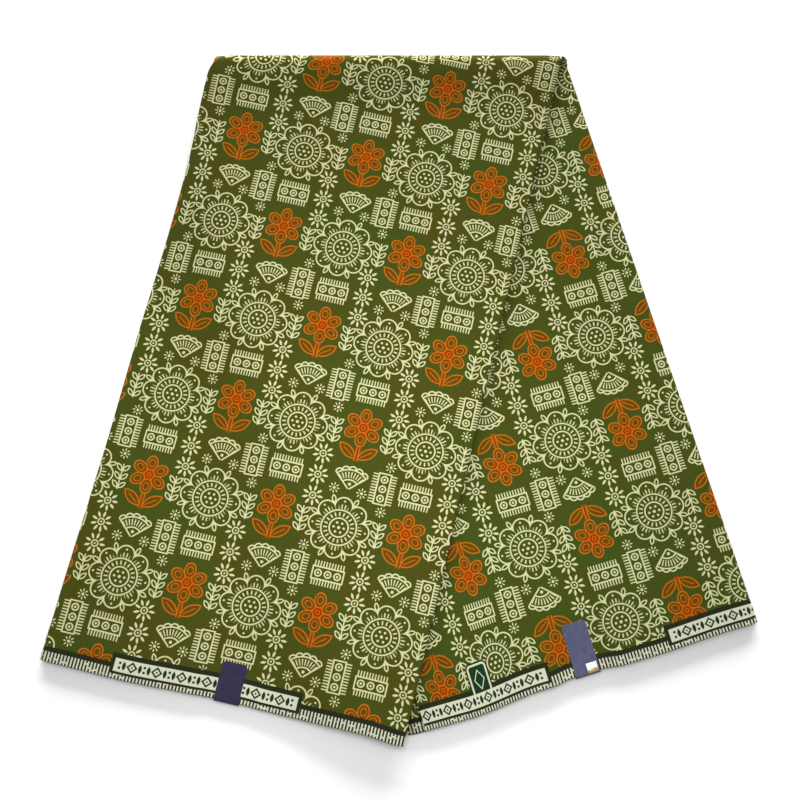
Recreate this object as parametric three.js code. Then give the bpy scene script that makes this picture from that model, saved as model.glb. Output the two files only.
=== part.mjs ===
/**
 * A length of printed cotton cloth, folded for the shelf.
 *
 * The cloth is 46 inches wide and 6 yards long. Pleated along its length into 18 layers it makes
 * a long strip with the two selvedges as its hems. The strip is then folded over across its
 * middle, and its halves lie a little apart, like an open pair of scissors: the front half leans
 * to -X and lies on the back half, which leans to +X.
 *
 * The outermost layer is the front's face. It turns over the fold and becomes the underside of
 * the back. The innermost layer is the face of the back and the underside of the front. The 16
 * layers between them share one solid, with their edges showing as ridges. A paper label is
 * wrapped round each hem and nips it.
 *
 * Frame: millimetres, +Z up, the fold at the far side (+Y), the hems at the near side. The whole
 * rests on z = 0, and the origin is under the middle of its box.
 */
import * as THREE from 'three';

// ---- Driving dimensions, in millimetres and radians ----

const CLOTH_LENGTH = 5490; // along the warp, 6 yards
const LAYERS = 18;
const STRIP = CLOTH_LENGTH / LAYERS; // width of the folded strip
const STACK = 7.6; // thickness of one half, 18 layers with the air between them
const WALL = 1.0; // a layer that is a piece of its own, or a label
const GAP = 0.36; // between pieces that touch
const LIP = 1.6; // radius with which a face layer turns down at the strip's sides
const FOLD_RADIUS = 5.55; // of the middle of the stack, round the top fold
const FOLD_CORNER = { left: 4, right: 1 }; // how far the sides draw in at the fold
const REACH = FOLD_RADIUS + STACK / 2; // from the axis of the fold to its outline

/** A half leans to `side` of the fold's normal. Its outer layer faces up or down: `outward`. */
const FRONT = {
  side: -1,
  outward: 1,
  lean: THREE.MathUtils.degToRad(13.4),
  length: 590, // along its middle, from the outline of the fold to the hem
  foldRows: [0, 10, 22, 36, 55], // distances from the axis of the fold
  middleRows: 12,
  hemRows: [62, 37, 26, 12, 0], // distances from the hem
  label: { at: 3, length: 32, hemPull: 0.8 },
};
const BACK = {
  side: 1,
  outward: -1,
  lean: THREE.MathUtils.degToRad(16.2),
  length: 578,
  foldRows: [0, 60],
  middleRows: 3,
  hemRows: [70, 48, 30, 12, 0],
  label: { at: 4, length: 45, hemPull: 2.4 },
};
const FOLD_STEPS = 8;

// The front lies flat on the back, past the back's left side, and then slopes to the floor.
const OVERHANG = 30;
const SLOPE = 80;
const BULGE_REACH = 30; // how far from the fold the front is held up by the fold's stiffness

// The stack is nipped flat under a label, and fills out again around it.
const LABEL_WIDTH = 21;
const LABEL_TUCK = 12; // the part of a label that is turned under the hem
const LABEL_CORNER = 3;
const NIP_DEPTH = 0.36; // share of the thickness that is pressed out
const NIP = { halfWidth: 13, fadeWidth: 19, length: 12, fadeLength: 50 };

// The face layer of the back is pleated a little short on the left, so the next one shows there.
const STEP_IN = { at: -55, width: 15, length: 250 };

/** Columns across the strip. The face layers' lips lie outside the first and the last. */
const SIDE_COLUMN = STRIP / 2 - LIP;
const COLUMNS = [
  -SIDE_COLUMN, -140, -115, -85, -55, -29, -19, -9, -3, 3, 9, 16, 26, 36, 66, 97, 128, SIDE_COLUMN,
];

/** The layers' edges: the height of each ridge or groove, and how far it is drawn in. */
const EDGE_LEVELS = [
  { n: -2.3, side: 2.4, hem: 1.8 },
  { n: -1.8, side: 1.0, hem: 1.3 },
  { n: -1.52, side: 0.2, hem: 0.4 },
  { n: -1.14, side: 1.0, hem: 1.5 },
  { n: -0.76, side: 0.0, hem: 0.8 },
  { n: -0.38, side: 1.1, hem: 1.6 },
  { n: 0, side: 0.4, hem: 0.2 },
  { n: 0.38, side: 1.2, hem: 1.3 },
  { n: 0.76, side: 0.1, hem: 0.7 },
  { n: 1.14, side: 0.9, hem: 1.6 },
  { n: 1.52, side: 0.3, hem: 0.5 },
  { n: 1.8, side: 1.0, hem: 1.4 },
  { n: 2.3, side: 2.4, hem: 1.8 },
];

// ---- Places on the folded strip ----

const { lerp, smoothstep } = THREE.MathUtils;

/** 1 up to `flat` from the centre, and 0 past `flat + fade`. */
const plateau = (distance, flat, fade) => 1 - smoothstep(distance, flat, flat + fade);

/** Place in plan of the point `t` across and `d` from the axis of the fold. */
function plan(half, t, d) {
  const x = t / Math.cos(half.lean) + half.side * (REACH * Math.tan(half.lean) + d * Math.sin(half.lean));
  const y = -REACH - d * Math.cos(half.lean);
  return { x, y };
}

/** Distance from the axis of the fold to the hem, which is square to the strip. */
function hemDistance(half, t) {
  return half.length - REACH / Math.cos(half.lean) - half.side * t * Math.tan(half.lean);
}

/** How far a point in plan lies to the left of the back half. */
function leftOfBack(x, y) {
  const edge = plan(BACK, -STRIP / 2, 0);
  return -(x - edge.x) * Math.cos(BACK.lean) - (y - edge.y) * Math.sin(BACK.lean);
}

/** Height of the middle of the stack: the back lies on the floor, the front partly on the back. */
function middleHeight(half, x, y, d) {
  if (half === BACK) return STACK / 2;
  const lift = (STACK + GAP) * plateau(leftOfBack(x, y), OVERHANG, SLOPE);
  const bulge = (2 * FOLD_RADIUS - STACK - GAP) * Math.exp(-((d / BULGE_REACH) ** 2));
  return STACK / 2 + lift + bulge;
}

/** 1 where the label nips the stack, fading to 0 around it. */
function nip(half, t, toHem) {
  const across = plateau(Math.abs(t - half.label.at), NIP.halfWidth, NIP.fadeWidth);
  return across * plateau(toHem, NIP.length, NIP.fadeLength);
}

/**
 * A point of a half: `t` across the strip, `toHem` from the hem, `n` from the middle of the
 * stack towards its outermost layer, then moved out by `out`, which no nip squeezes.
 */
function halfPoint(half, t, toHem, n, out = 0) {
  const pressed = nip(half, t, toHem);
  const d = hemDistance(half, t) - toHem;
  const { x, y } = plan(half, t, d - half.label.hemPull * pressed);
  const height = half.outward * (n * (1 - NIP_DEPTH * pressed) + out);
  return new THREE.Vector3(x, y, middleHeight(half, x, y, d) + height);
}

/** A point of the fold, `turn` round from the front (0) to the back (pi). */
function foldPoint(turn, t, n) {
  const corner = t < 0 ? FOLD_CORNER.left : FOLD_CORNER.right;
  const drawnIn = 1 - (corner * Math.sin(turn) ** 2) / (STRIP / 2);
  const across = smoothstep(turn, 0, Math.PI);
  const x = lerp(plan(FRONT, t * drawnIn, 0).x, plan(BACK, t * drawnIn, 0).x, across);
  const radius = FOLD_RADIUS + n;
  return new THREE.Vector3(x, radius * Math.sin(turn) - REACH, radius * Math.cos(turn) + REACH);
}

/** Rows of a half from the fold to the hem. Each gives its distance from the hem at `t`. */
function rowsOf(half) {
  const { foldRows, middleRows, hemRows } = half;
  const lastFold = foldRows.at(-1);
  const fromFold = foldRows.map((d) => ({ half, toHem: (t) => hemDistance(half, t) - d }));
  const between = Array.from({ length: middleRows }, (_, k) => ({
    half,
    toHem: (t) => lerp(hemDistance(half, t) - lastFold, hemRows[0], (k + 1) / (middleRows + 1)),
  }));
  const fromHem = hemRows.map((distance) => ({ half, toHem: () => distance, isHem: distance === 0 }));
  return [...fromFold, ...between, ...fromHem];
}

/** All rows of the strip, from the hem of the front, round the fold, to the hem of the back. */
const ROWS = [
  ...rowsOf(FRONT).reverse(),
  ...Array.from({ length: FOLD_STEPS - 1 }, (_, k) => ({ turn: (Math.PI * (k + 1)) / FOLD_STEPS })),
  ...rowsOf(BACK),
];

/** The point of a row at `t` across and `n` from the middle, `drawnIn` from the hem if it is one. */
function rowPoint(row, t, n, drawnIn = 0) {
  if (row.half === undefined) return foldPoint(row.turn, t, n);
  return halfPoint(row.half, t, row.toHem(t) + (row.isHem ? drawnIn : 0), n);
}

// ---- Closed bodies ----

/**
 * The skin of a block of ni x nj x nk cells, bent into shape by pointAt(i, j, k). Every cell on
 * the skin is two triangles, and the faces point out whichever way round the block is bent.
 */
function bentBlock(ni, nj, nk, pointAt) {
  const positions = [];
  const found = new Map();
  const corner = (i, j, k) => {
    const key = (i * (nj + 1) + j) * (nk + 1) + k;
    if (!found.has(key)) {
      found.set(key, found.size);
      positions.push(pointAt(i, j, k));
    }
    return found.get(key);
  };
  const triangles = [];
  const side = (na, nb, cornerAt, turned) => {
    for (let a = 0; a < na; a += 1) {
      for (let b = 0; b < nb; b += 1) {
        const first = cornerAt(a, b);
        const last = cornerAt(a + 1, b + 1);
        const cell = [[first, cornerAt(a + 1, b), last], [first, last, cornerAt(a, b + 1)]];
        if (turned) cell.forEach((triangle) => triangle.reverse());
        triangles.push(...cell);
      }
    }
  };
  side(ni, nj, (i, j) => corner(i, j, nk), false);
  side(ni, nj, (i, j) => corner(i, j, 0), true);
  side(nj, nk, (j, k) => corner(ni, j, k), false);
  side(nj, nk, (j, k) => corner(0, j, k), true);
  side(ni, nk, (i, k) => corner(i, nj, k), true);
  side(ni, nk, (i, k) => corner(i, 0, k), false);

  const cross = new THREE.Vector3();
  const volume = triangles.reduce(
    (sum, [a, b, c]) => sum + positions[a].dot(cross.crossVectors(positions[b], positions[c])),
    0,
  );
  if (volume < 0) triangles.forEach((triangle) => triangle.reverse());

  const geometry = new THREE.BufferGeometry();
  geometry.setFromPoints(positions);
  geometry.setIndex(triangles.flat());
  geometry.computeVertexNormals();
  return geometry;
}

/**
 * Places across a face layer, each with a centre, and the turn of its lip there. The layer is
 * flat between its side columns and turns down by a quarter circle past each of them.
 */
const LIP_TURNS = [Math.PI / 4, Math.PI / 2];
const FACE_PLACES = [
  ...LIP_TURNS.map((turn) => ({ t: -SIDE_COLUMN, turn: -turn })).reverse(),
  ...COLUMNS.map((t) => ({ t, turn: 0 })),
  ...LIP_TURNS.map((turn) => ({ t: SIDE_COLUMN, turn })),
];

const CUT_EDGE = 0.9 * WALL; // how far the stepped edge of the back's face layer is rounded off

/** How far the back's face layer is stepped in on the left, at a distance from its hem. */
const stepIn = (toHem) => STEP_IN.width * plateau(toHem, 0, STEP_IN.length);

/**
 * A face layer: `facing` 1 is the outermost, and -1 the innermost layer of the strip. Its sides
 * turn down in lips, apart from the stepped side of the back's face, which lies flat.
 */
function faceLayer(facing) {
  const centre = STACK / 2 - LIP;
  return bentBlock(FACE_PLACES.length - 1, 1, ROWS.length - 1, (i, j, k) => {
    const { t, turn } = FACE_PLACES[i];
    const row = ROWS[k];
    const radius = LIP - j * WALL;
    const across = t + radius * Math.sin(turn);
    const lipHeight = centre + radius * Math.cos(turn);
    const stepped = facing < 0 && row.half === BACK && across < STEP_IN.at;
    if (!stepped) return rowPoint(row, across, facing * lipHeight);

    const share = (across - STEP_IN.at) / (-STRIP / 2 - STEP_IN.at);
    const height = STACK / 2 - (j === 1 ? WALL : CUT_EDGE * (1 - Math.cos(turn)));
    return rowPoint(row, across + stepIn(row.toHem(across)) * share, facing * height);
  });
}

/** The layers between the two faces, with their edges as ridges at the sides and the hems. */
function hiddenLayers() {
  const last = COLUMNS.length - 1;
  return bentBlock(last, EDGE_LEVELS.length - 1, ROWS.length - 1, (i, j, k) => {
    const level = EDGE_LEVELS[j];
    const edge = STRIP / 2 - level.side;
    let t = COLUMNS[i];
    if (i === 0) t = -edge;
    if (i === last) t = edge;
    return rowPoint(ROWS[k], t, level.n, level.hem);
  });
}

// ---- Labels ----

const LABEL_COLUMNS = 4;

/** Stations of a label's wrap: on the outer side of the hem, round it, and under it. */
function labelStations(length) {
  const onTop = [length, length - LABEL_CORNER, 26, 12, 0].map((toHem) => ({ toHem, side: 1 }));
  const round = [1, -1].map((side) => ({ toHem: 0, side, pastHem: true }));
  const under = [0, LABEL_TUCK].map((toHem) => ({ toHem, side: -1 }));
  return [...onTop, ...round, ...under];
}

/** A label wrapped round the hem of a half, on the face that shows. */
function label(half) {
  const stations = labelStations(half.label.length);
  const shown = half.outward; // the side of the stack that faces up
  return bentBlock(LABEL_COLUMNS, 1, stations.length - 1, (i, j, k) => {
    const { toHem, side, pastHem } = stations[k];
    const rounded = k === 0 ? LABEL_CORNER : 0;
    const across = (i / LABEL_COLUMNS - 0.5) * (LABEL_WIDTH - 2 * rounded);
    const out = GAP + j * WALL;
    const n = shown * side * (STACK / 2);
    return halfPoint(half, half.label.at + across, pastHem ? -out : toHem, n, shown * side * out);
  });
}

/** The small shiny seal stuck on the back's label, by the hem. */
const SEAL = { from: 0.5, to: 9.5, low: 1, high: 10 };

function labelSeal() {
  const shown = BACK.outward;
  return bentBlock(2, 1, 2, (i, j, k) => {
    const t = BACK.label.at + lerp(SEAL.from, SEAL.to, i / 2);
    const out = WALL + 2 * GAP + j * WALL;
    return halfPoint(BACK, t, lerp(SEAL.low, SEAL.high, k / 2), shown * (STACK / 2), shown * out);
  });
}

// ---- The object ----

const cotton = (color) => new THREE.MeshStandardMaterial({ color, roughness: 0.72, metalness: 0 });
const film = (color) => new THREE.MeshStandardMaterial({ color, roughness: 0.42, metalness: 0 });

const PIECES = {
  outer_layer: { shape: faceLayer(1), material: cotton(0x4e511e) },
  hidden_layers: { shape: hiddenLayers(), material: cotton(0x5d5f38) },
  inner_layer: { shape: faceLayer(-1), material: cotton(0x484c1f) },
  front_label: { shape: label(FRONT), material: film(0x3c3755) },
  back_label: { shape: label(BACK), material: film(0x5f5f82) },
  label_seal: {
    shape: labelSeal(),
    material: new THREE.MeshStandardMaterial({ color: 0xd8d0b4, roughness: 0.25, metalness: 0.6 }),
  },
};

const box = new THREE.Box3();
for (const { shape } of Object.values(PIECES)) {
  shape.computeBoundingBox();
  box.union(shape.boundingBox);
}
const middle = box.getCenter(new THREE.Vector3());

const foldedCloth = new THREE.Group();
for (const [name, { shape, material }] of Object.entries(PIECES)) {
  shape.translate(-middle.x, -middle.y, 0);
  const mesh = new THREE.Mesh(shape, material);
  mesh.name = name;
  foldedCloth.add(mesh);
}

export default foldedCloth;
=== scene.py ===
# %% [markdown]
# # A folded length of printed cotton
#
# Six yards of cotton, 46 inches wide, is pleated into a strip of 18 layers and folded over once
# across its middle. What we see is the face of two layers, the edges of the others and two paper
# labels. This lesson builds it in Blender from a few sizes: first a map that says where any point
# of the folded strip lies, then the layers as thin sheets carried along that map, then the print,
# which is drawn by the material in the cloth's own coordinates.

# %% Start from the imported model
import math

import bpy
import numpy as np
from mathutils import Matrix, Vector


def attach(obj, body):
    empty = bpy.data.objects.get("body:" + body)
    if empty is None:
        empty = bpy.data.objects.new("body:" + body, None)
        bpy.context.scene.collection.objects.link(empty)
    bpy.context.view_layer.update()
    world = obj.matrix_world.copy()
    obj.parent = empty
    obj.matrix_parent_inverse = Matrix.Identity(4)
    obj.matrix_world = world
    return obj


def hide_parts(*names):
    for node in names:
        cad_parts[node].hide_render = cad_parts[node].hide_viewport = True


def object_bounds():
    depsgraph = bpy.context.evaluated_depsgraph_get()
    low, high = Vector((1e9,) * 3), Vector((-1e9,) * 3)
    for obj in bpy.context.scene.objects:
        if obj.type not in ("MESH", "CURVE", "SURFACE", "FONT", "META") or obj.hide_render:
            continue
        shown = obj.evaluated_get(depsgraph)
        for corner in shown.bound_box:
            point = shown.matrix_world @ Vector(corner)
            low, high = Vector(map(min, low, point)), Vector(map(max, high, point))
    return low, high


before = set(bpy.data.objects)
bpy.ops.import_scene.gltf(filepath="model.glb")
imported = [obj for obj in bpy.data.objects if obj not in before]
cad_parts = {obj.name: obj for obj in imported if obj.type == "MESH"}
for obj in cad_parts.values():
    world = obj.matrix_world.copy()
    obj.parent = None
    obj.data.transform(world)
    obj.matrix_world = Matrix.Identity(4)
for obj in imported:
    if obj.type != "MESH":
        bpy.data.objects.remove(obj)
cad_box = [list(map(float, corner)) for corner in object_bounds()]
print("the packed model has", len(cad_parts), "nodes")
print("CAD box, m:", np.round(cad_box, 4).tolist())

# %% [markdown]
# ## Sizes
#
# A shop folds such a cloth so that it is easy to count and to show. The folds could be simulated,
# but a pressed pile hardly moves, and its order is known. So the few sizes below, in metres, are
# the real ones, and all else follows from them.

# %% Sizes of the cloth and of the strip
MM = 0.001
LAYERS = 18
CLOTH_LENGTH = 5.49  # six yards
STRIP = CLOTH_LENGTH / LAYERS  # width of the strip
STACK = 7.6 * MM  # thickness of one half
PITCH = STACK / LAYERS  # from one layer to the next
COTTON = 0.3 * MM  # thickness of a layer
FOLD_RADIUS = 5.55 * MM  # of the middle of the stack, round the top fold
REACH = FOLD_RADIUS + STACK / 2  # from the axis of the fold to its outline
print("strip", round(STRIP * 1000, 1), "mm wide,", LAYERS, "layers of", round(PITCH * 1000, 2), "mm")

# %% [markdown]
# The fold makes two halves. Each leans to one side of the fold's normal. The outermost layer
# faces up on the front half and down on the back half. A drift is how far a stretch of the hem
# has crept out: its size, where across the strip it starts, and where it is in full.

# %% Sizes of the two halves
FRONT = dict(
    side=-1,
    outward=1,
    lean=math.radians(13.4),
    length=0.590,
    label_at=3 * MM,
    pull=0.8 * MM,  # how far the label draws the hem back
    drift=[(3.0 * MM, -10 * MM, -90 * MM), (2.0 * MM, 120 * MM, 150 * MM)],
    wave_phase=2.105,
)
BACK = dict(
    side=1,
    outward=-1,
    lean=math.radians(16.2),
    length=0.578,
    label_at=4 * MM,
    pull=2.4 * MM,
    drift=[(5.4 * MM, -35 * MM, -100 * MM), (-2.2 * MM, 60 * MM, 140 * MM)],
    wave_phase=2.545,
)
print("the two halves together are", FRONT["length"] + BACK["length"], "m long")

# %% [markdown]
# ## The map of the folded strip
#
# A point of the strip has three numbers: `t` across it, its distance from a hem, and its height
# `n` in the stack, from the middle towards the outermost layer. The functions below give its place
# in space, for whole arrays at once. Each layer could be modelled by itself, but then the layers
# would have to be kept from crossing. In one common map they are parallel by construction.


# %% Places in plan
def smooth(x, low, high):
    """3x² - 2x³ of the share x has gone from low to high, held at 0 before and 1 after."""
    share = np.clip((x - low) / (high - low), 0, 1)
    return share * share * (3 - 2 * share)


def plan(half, t, d):
    """Place in plan of a point t across and d from the fold's axis: along the lean, from the axis."""
    lean, side = half["lean"], half["side"]
    x = t / math.cos(lean) + side * (REACH * math.tan(lean) + d * math.sin(lean))
    return x, -REACH - d * math.cos(lean) + 0 * x


def hem_distance(half, t):
    """Distance from the fold's axis to the hem at t: the hem is square to the leaning strip."""
    lean = half["lean"]
    return half["length"] - REACH / math.cos(lean) - half["side"] * t * math.tan(lean)


front_corner_x = plan(FRONT, -STRIP / 2, hem_distance(FRONT, -STRIP / 2))[0]
ORIGIN = np.array([cad_box[0][0] - front_corner_x, cad_box[1][1], 0.0])
print("the middle of the fold's outline is at", np.round(ORIGIN, 4).tolist())

# %% [markdown]
# The back half lies on the floor. The front half lies on the back half as far as that reaches,
# and a little further on it slopes down to the floor, as a soft pile does past the edge of another.

# %% Heights
OVERHANG, SLOPE = 30 * MM, 80 * MM  # past the back half, the front runs on, then slopes down
GAP = 0.36 * MM  # air between the halves
BULGE_REACH = 30 * MM  # near the fold the front stands higher, over its bend


def resting_height(half, x, y, d):
    """Height of the stack's middle: half its thickness, plus the lift where it lies on the back."""
    if half is BACK:
        return STACK / 2 + 0 * x
    edge_x, edge_y = plan(BACK, np.float64(-STRIP / 2), 0)
    left = -(x - edge_x) * math.cos(BACK["lean"]) - (y - edge_y) * math.sin(BACK["lean"])
    lift = (STACK + GAP) * (1 - smooth(left, OVERHANG, OVERHANG + SLOPE))
    bulge = (2 * FOLD_RADIUS - STACK - GAP) * np.exp(-((d / BULGE_REACH) ** 2))
    return STACK / 2 + lift + bulge


print("the front lies", round((STACK + GAP) * 1000, 2), "mm higher than the back")

# %% [markdown]
# ## Softness
#
# A stack of cloth is never quite flat. It is thinner at its sides, where the pleats are pressed,
# and where a label is wrapped tightly round it, and it sinks here and there between them. Noise on
# each layer would push layers through each other. So the whole stack is squeezed towards its own
# underside instead, and the layers stay parallel.

# %% The stack pressed and sagging
SIDE_PRESS, SIDE_ROUND = 0.20, 16 * MM  # share of the thickness lost, over that width
SAG, SAG_FROM_FOLD = 0.75 * MM, 60 * MM
SAG_WAVES = [(0.9, 21, 9, 0.4), (0.8, -13, 17, 2.1), (0.6, 34, -12, 4.0), (0.5, 12, 31, 1.2)]
NIP_DEPTH = 0.36  # share of the thickness lost under a label
NIP_WIDE, NIP_FADE = 13 * MM, 19 * MM  # to each side of the label's middle
NIP_LONG, NIP_FADE_LONG = 12 * MM, 50 * MM  # from the hem


def nip(half, t, to_hem):
    """1 where the label presses the stack, fading smoothly to 0 around it."""
    across = 1 - smooth(abs(t - half["label_at"]), NIP_WIDE, NIP_WIDE + NIP_FADE)
    return across * (1 - smooth(to_hem, NIP_LONG, NIP_LONG + NIP_FADE_LONG))


def side_press(t):
    """Share of the thickness lost at t: it grows smoothly from 0 towards the strip's sides."""
    return SIDE_PRESS * smooth(abs(t), STRIP / 2 - SIDE_ROUND, STRIP / 2)


def sag(x, y):
    """A sum of slow sine waves, scaled to lie between 0 and 1: how far the top has sunk."""
    total = sum(size * np.sin(kx * x + ky * y + phase) for size, kx, ky, phase in SAG_WAVES)
    return 0.5 + 0.5 * total / sum(size for size, *_ in SAG_WAVES)


print("at its sides the stack is", round(STACK * (1 - side_press(STRIP / 2)) * 1000, 2), "mm thick")
print("under a label it is", round(STACK * (1 - NIP_DEPTH) * 1000, 2), "mm thick")

# %% [markdown]
# The outline of a pile isn't ruled either: its layers creep when it is carried, so the hems drift
# and wave, their corners are rounded, and the front's left side swells and draws in. These small
# shifts are smooth steps and sine waves, which are easy to place and never make a kink.

# %% The outline's unevenness
HEM_WAVE = 0.45 * MM
SLOW_SHARE, SLOW_WAVE = 0.8, 40 * MM
QUICK_SHARE, QUICK_WAVE, QUICK_PHASE = 0.2, 13 * MM, 2.0
NEAR_HEM, AT_HEM = 150 * MM, 15 * MM  # how far in the drift and the corners reach
CORNER_ROUND, CORNER_CUT = 9 * MM, 1.0 * MM
SHOULDER = dict(out=2.4 * MM, rise=(0, 8 * MM), fade=(10 * MM, 80 * MM))
HOLLOW = dict(out=-2.3 * MM, rise=(50 * MM, 105 * MM), fade=(120 * MM, 270 * MM))
FLARE, FLARE_FROM = 0.022, 0.33  # share of half the strip, and where along the front it starts


def hem_shift(half, t, to_hem):
    """How far the cloth near a hem is out: its drift, two sine waves and a cut at the corners."""
    drift = sum(size * smooth(t, low, high) for size, low, high in half["drift"])
    waves = SLOW_SHARE * np.sin(t / SLOW_WAVE + half["wave_phase"])
    waves = waves + QUICK_SHARE * np.sin(t / QUICK_WAVE + QUICK_PHASE)
    corner = smooth(abs(t), STRIP / 2 - CORNER_ROUND, STRIP / 2) ** 2
    near, at_hem = 1 - smooth(to_hem, 0, NEAR_HEM), 1 - smooth(to_hem, 0, AT_HEM)
    return (drift + HEM_WAVE * waves) * near - CORNER_CUT * corner * at_hem


def swell(d, out, rise, fade):
    """A hump of height out: it rises smoothly over one stretch of d and fades over another."""
    return out * smooth(d, *rise) * (1 - smooth(d, *fade))


def left_side(half, d):
    """How far the front's left side stands out, d from the fold: a shoulder, a hollow, a flare."""
    if half is BACK:
        return 0.0 * d
    flare = FLARE * STRIP / 2 * smooth(d, FLARE_FROM, half["length"])
    return swell(d, **SHOULDER) + swell(d, **HOLLOW) + flare


print("at its hem the front's left side stands out", round(FLARE * STRIP / 2 * 1000, 1), "mm")

# %% [markdown]
# Now the map itself. On a half, a point goes to its place in plan and then to its height in the
# squeezed stack. Round the fold, it turns about the fold's axis, at a radius set by its height.

# %% Points of a half and of the fold
FOLD_CORNER_LEFT = 2.4 * MM  # how far the fold's left side draws in
FOLD_CORNER_RIGHT = -2.2 * MM  # the right side stands out instead


def half_point(half, t, to_hem, n, out=0.0):
    """A point of a half, moved out of the stack by out, which is not squeezed with it."""
    pressed = nip(half, t, to_hem)
    d = hem_distance(half, t) - to_hem
    spread = t + left_side(half, d) * np.minimum(t, 0.0) / (STRIP / 2)
    x, y = plan(half, spread, d + hem_shift(half, t, to_hem) - half["pull"] * pressed)
    height = n * (1 - NIP_DEPTH * pressed) * (1 - side_press(t)) + out
    share_up = 0.5 + 0.5 * half["outward"] * n / (STACK / 2)
    sunk = SAG * sag(x, y) * smooth(d, 0, SAG_FROM_FOLD) * share_up * (1 - pressed)
    z = resting_height(half, x, y, d) + half["outward"] * height - sunk
    return np.stack([x, y, z], -1) + ORIGIN


def fold_point(turn, t, n):
    """A point of the fold, turned round its axis from the front (0) to the back (pi)."""
    corner = np.where(t < 0, FOLD_CORNER_LEFT, FOLD_CORNER_RIGHT)
    t = t * (1 - corner * np.sin(turn) ** 2 / (STRIP / 2))
    front, back = plan(FRONT, t, 0)[0], plan(BACK, t, 0)[0]
    x = front + (back - front) * smooth(turn, 0, math.pi)
    radius = FOLD_RADIUS + n * (1 - side_press(t))
    return np.stack([x, radius * np.sin(turn) - REACH, radius * np.cos(turn) + REACH], -1) + ORIGIN


top_of_fold = fold_point(0.0, np.float64(0), STACK / 2)
print("the fold is", round(float(top_of_fold[2]) * 1000, 1), "mm high")

# %% [markdown]
# ## Sheets
#
# A layer of cloth is a grid: a section across the strip, carried from one hem, up the front, round
# the fold and down the back to the other hem. The grid could be drawn out of a plane with
# modifiers, but an array of points is exact and quick. Blender's Solidify gives it its thickness.


# %% A grid of points made into a mesh
def grid_mesh(name, points, uv_maps, material, thickness=0.0, flip=False):
    """A mesh of quads between neighbouring points of a (rows, columns, 3) array, with its UV maps."""
    rows, columns = points.shape[:2]
    index = np.arange(rows * columns).reshape(rows, columns)
    corners = [index[:-1, :-1], index[:-1, 1:], index[1:, 1:], index[1:, :-1]]
    quads = np.stack(corners[::-1] if flip else corners, -1).reshape(-1, 4)
    mesh = bpy.data.meshes.new(name)
    mesh.vertices.add(rows * columns)
    mesh.vertices.foreach_set("co", points.reshape(-1).astype(np.float32))
    mesh.loops.add(quads.size)
    mesh.loops.foreach_set("vertex_index", quads.reshape(-1).astype(np.int32))
    mesh.polygons.add(len(quads))
    mesh.polygons.foreach_set("loop_start", np.arange(0, quads.size, 4, dtype=np.int32))
    mesh.polygons.foreach_set("use_smooth", np.ones(len(quads), dtype=bool))
    mesh.update(calc_edges=True)
    for map_name, uv in uv_maps.items():
        corner_uv = uv.reshape(-1, 2)[quads.reshape(-1)].astype(np.float32)
        mesh.uv_layers.new(name=map_name).uv.foreach_set("vector", corner_uv.reshape(-1))
    mesh.materials.append(material)
    piece = bpy.data.objects.new(name, mesh)
    bpy.context.collection.objects.link(piece)
    if thickness:
        wall = piece.modifiers.new("wall", "SOLIDIFY")
        wall.thickness, wall.offset = thickness, 0.0
    print(name, "has", rows, "x", columns, "points and", len(quads), "quads")
    return piece


def take_place(piece, node):
    """Makes a piece ride on the only body and stand for a CAD node."""
    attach(piece, "root")
    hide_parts(node)


def edged(low, high, count, rim):
    """Evenly spaced values with one more close to each end, so that the edge is shaded crisply."""
    step = math.copysign(rim, high - low)
    return np.concatenate([[low], np.linspace(low + step, high - step, count), [high]])


print("places across an edged grid:", edged(0, 1, 3, 0.1).tolist())

# %% [markdown]
# Two UV maps go with a sheet. `cloth` holds the cloth's own coordinates in metres, on which the
# print is drawn, so the print bends and turns over with the cloth. `selvedge` holds the place
# along the nearest hem and the distance from it, on which the border is drawn.

# %% A section carried from hem to hem
HEM_RIM = 0.0006  # the row next to a hem, as a share of the half's length


def carry(t, n, u, rows, shorts=(0.0, 0.0)):
    """
    Carries a section of places t, heights n and cloth coordinates u from hem to hem. `rows` counts
    the rows on the front, the fold and the back, and `shorts` says how far each hem is drawn in.
    t and n may vary along the rows. Returns the points and the two UV maps.
    """
    front_rows, fold_rows, back_rows = rows
    shape = (sum(rows), t.shape[-1])
    t, n, u = (np.broadcast_to(value, shape) for value in (t, n, u))
    front, fold, back = np.split(np.arange(sum(rows)), [front_rows, front_rows + fold_rows])
    share = edged(0, 1, front_rows - 1, HEM_RIM)[:-1, None]
    to_hem_front = shorts[0] + (hem_distance(FRONT, t[front]) - shorts[0]) * share
    turn = np.linspace(0, math.pi, fold_rows)[:, None]
    share = edged(1, 0, back_rows - 1, HEM_RIM)[1:, None]
    to_hem_back = shorts[1] + (hem_distance(BACK, t[back]) - shorts[1]) * share
    points = np.concatenate([
        half_point(FRONT, t[front], to_hem_front, n[front]),
        fold_point(turn, t[fold], n[fold]),
        half_point(BACK, t[back], to_hem_back, n[back]),
    ])
    straight = hem_distance(FRONT, 0) + hem_distance(BACK, 0)
    whole = straight + math.pi * (FOLD_RADIUS + n)
    ends = hem_distance(FRONT, t[fold]), whole[fold] - hem_distance(BACK, t[fold])
    v_fold = ends[0] + (ends[1] - ends[0]) * turn / math.pi
    v = np.concatenate([to_hem_front, v_fold, whole[back] - to_hem_back])
    nearest = np.minimum(v_fold, whole[fold] - v_fold)
    to_hem = np.concatenate([to_hem_front, nearest, to_hem_back])
    return points, dict(cloth=np.stack([u, v], -1), selvedge=np.stack([u, to_hem], -1))


middle_line = hem_distance(FRONT, 0) + hem_distance(BACK, 0) + math.pi * FOLD_RADIUS

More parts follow.
